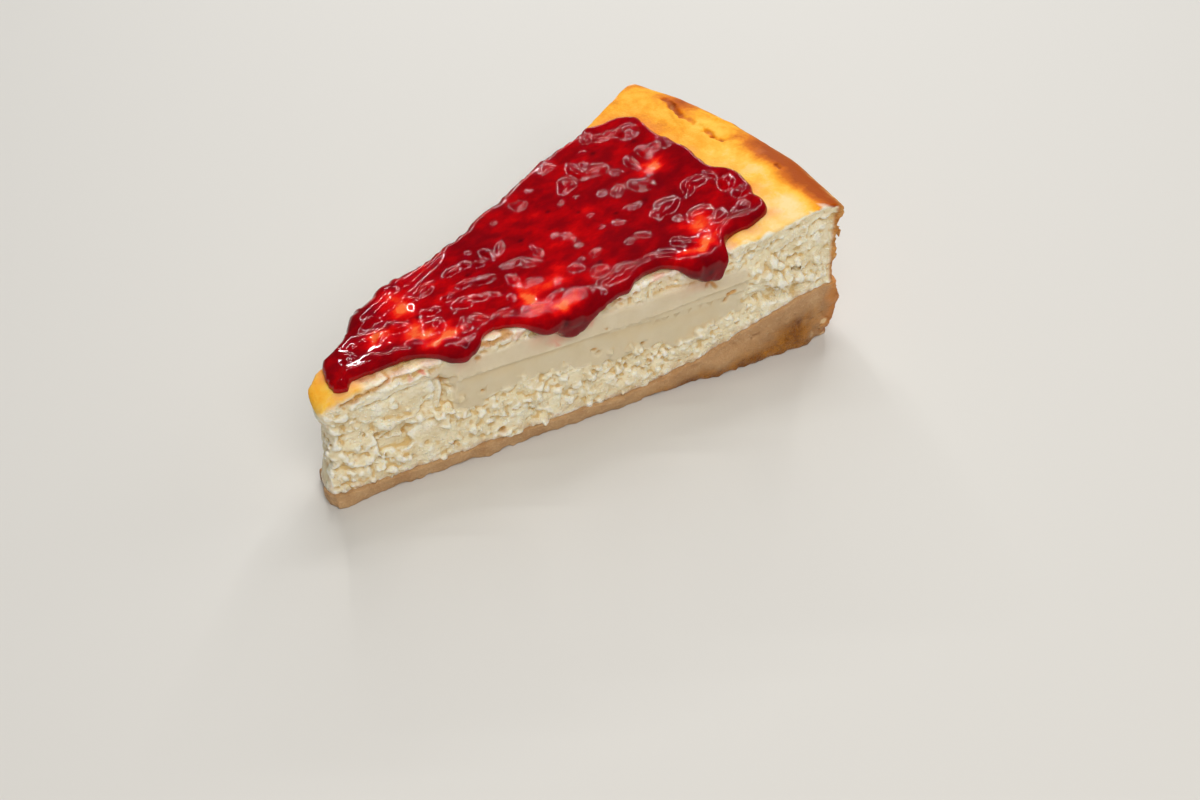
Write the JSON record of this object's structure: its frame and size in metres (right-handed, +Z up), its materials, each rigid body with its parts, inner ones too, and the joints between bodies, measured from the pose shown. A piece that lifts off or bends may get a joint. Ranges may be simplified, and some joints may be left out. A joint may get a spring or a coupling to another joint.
{
  "type": "cheesecake slice",
  "caption": "Wedge of baked cheesecake on a pastry base, with a browned top and a layer of red berry jam that drips over the cut face.",
  "frame": {"origin": "centre of the bounding box in plan, at its bottom, on the flat underside of the pastry", "axes": "+X from the broken tip to the outer wall, along the slice; +Y across it, from the jam-stained near cut face to the far cut face; +Z up"},
  "size_m": [0.1296, 0.0736, 0.041],
  "materials": {
    "pastry": "baked shortcrust pastry, matt and fine-grained, browner and moist at the outer foot",
    "cheese": "cream-coloured baked cheese, satin where the knife smoothed it and crumbly elsewhere, with a golden to brown baked skin on top and at the outer wall",
    "jam": "wet, glossy, translucent red berry jam with lumps"
  },
  "bodies": {
    "root": {"pastry_base": "pastry", "cheese_filling": "cheese", "jam_topping": "jam"}
  },
  "joints": []
}
